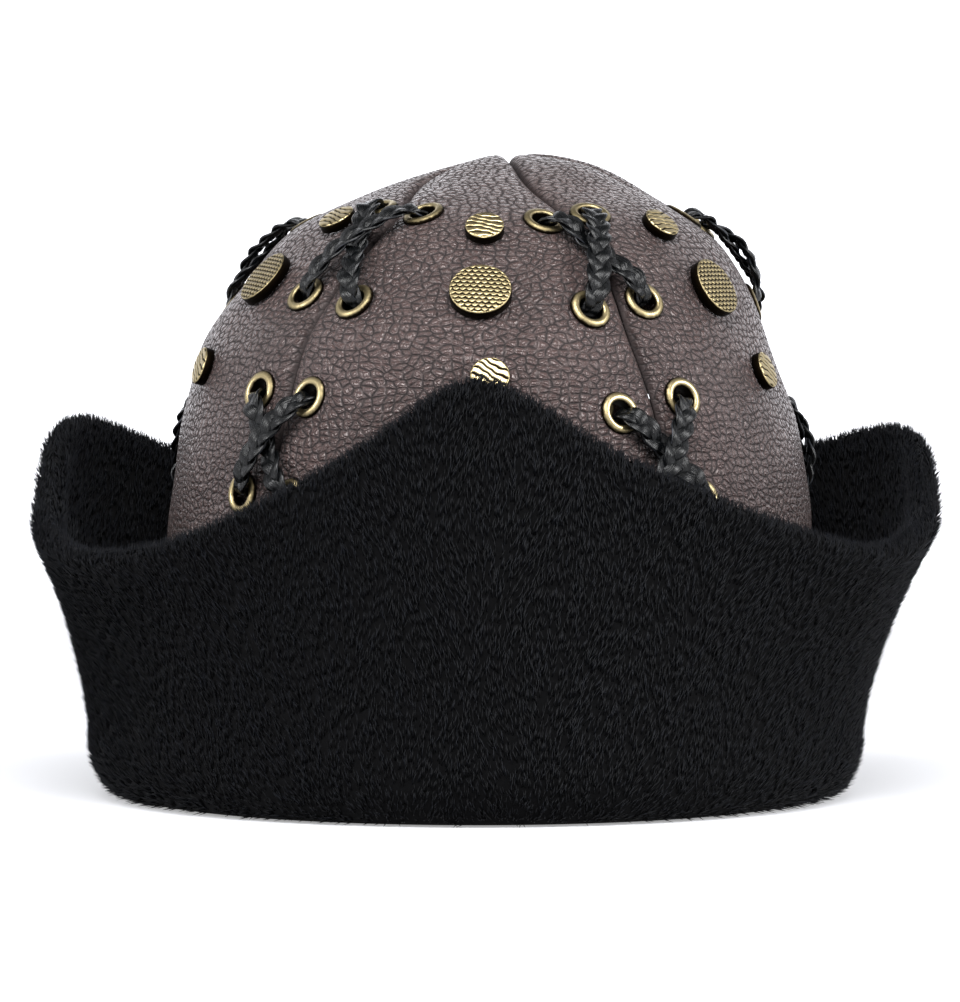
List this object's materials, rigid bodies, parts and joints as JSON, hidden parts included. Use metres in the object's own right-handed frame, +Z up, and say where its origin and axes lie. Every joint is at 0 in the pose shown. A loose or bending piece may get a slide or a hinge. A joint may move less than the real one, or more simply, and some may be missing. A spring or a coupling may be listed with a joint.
{
  "type": "bork hat",
  "caption": "Bork hat with a domed leather crown of gores, crossed laces through brass eyelets, round brass studs and a turned-up black fur brim with a front peak.",
  "frame": {"origin": "on the surface that the hat rests on, under the middle of the brim's bounding box", "axes": "+Z up through the crown's top; the brim's front peak is at -Y, and +X is to the right for someone who faces the peak"},
  "size_m": [0.259, 0.2672, 0.1811],
  "materials": {
    "brown_leather": "semi-gloss pebble grain",
    "black_fur": "short dense fur",
    "black_lace": "glossy braid",
    "antique_brass": "antiqued"
  },
  "bodies": {
    "root": {"gore_front": "brown_leather", "gore_right_front": "brown_leather", "gore_right_back": "brown_leather", "gore_back": "brown_leather", "gore_left_back": "brown_leather", "gore_left_front": "brown_leather", "fur_brim": "black_fur", "lace_back_left_upper": "black_lace", "lace_back_left_lower": "black_lace", "lace_left_upper": "black_lace", "lace_left_lower": "black_lace", "lace_front_left_upper": "black_lace", "lace_front_left_lower": "black_lace", "lace_front_right_upper": "black_lace", "lace_front_right_lower": "black_lace", "lace_right_upper": "black_lace", "lace_right_lower": "black_lace", "lace_back_right_upper": "black_lace", "lace_back_right_lower": "black_lace", "stud_front_top": "antique_brass", "stud_front_middle": "antique_brass", "stud_front_low": "antique_brass", "stud_right_front_top": "antique_brass", "stud_right_front_middle": "antique_brass", "stud_right_front_low": "antique_brass", "stud_right_back_top": "antique_brass", "stud_right_back_middle": "antique_brass", "stud_right_back_low": "antique_brass", "stud_back_top": "antique_brass", "stud_back_middle": "antique_brass", "stud_back_low": "antique_brass", "stud_left_back_top": "antique_brass", "stud_left_back_middle": "antique_brass", "stud_left_back_low": "antique_brass", "stud_left_front_top": "antique_brass", "stud_left_front_middle": "antique_brass", "stud_left_front_low": "antique_brass"}
  },
  "joints": []
}
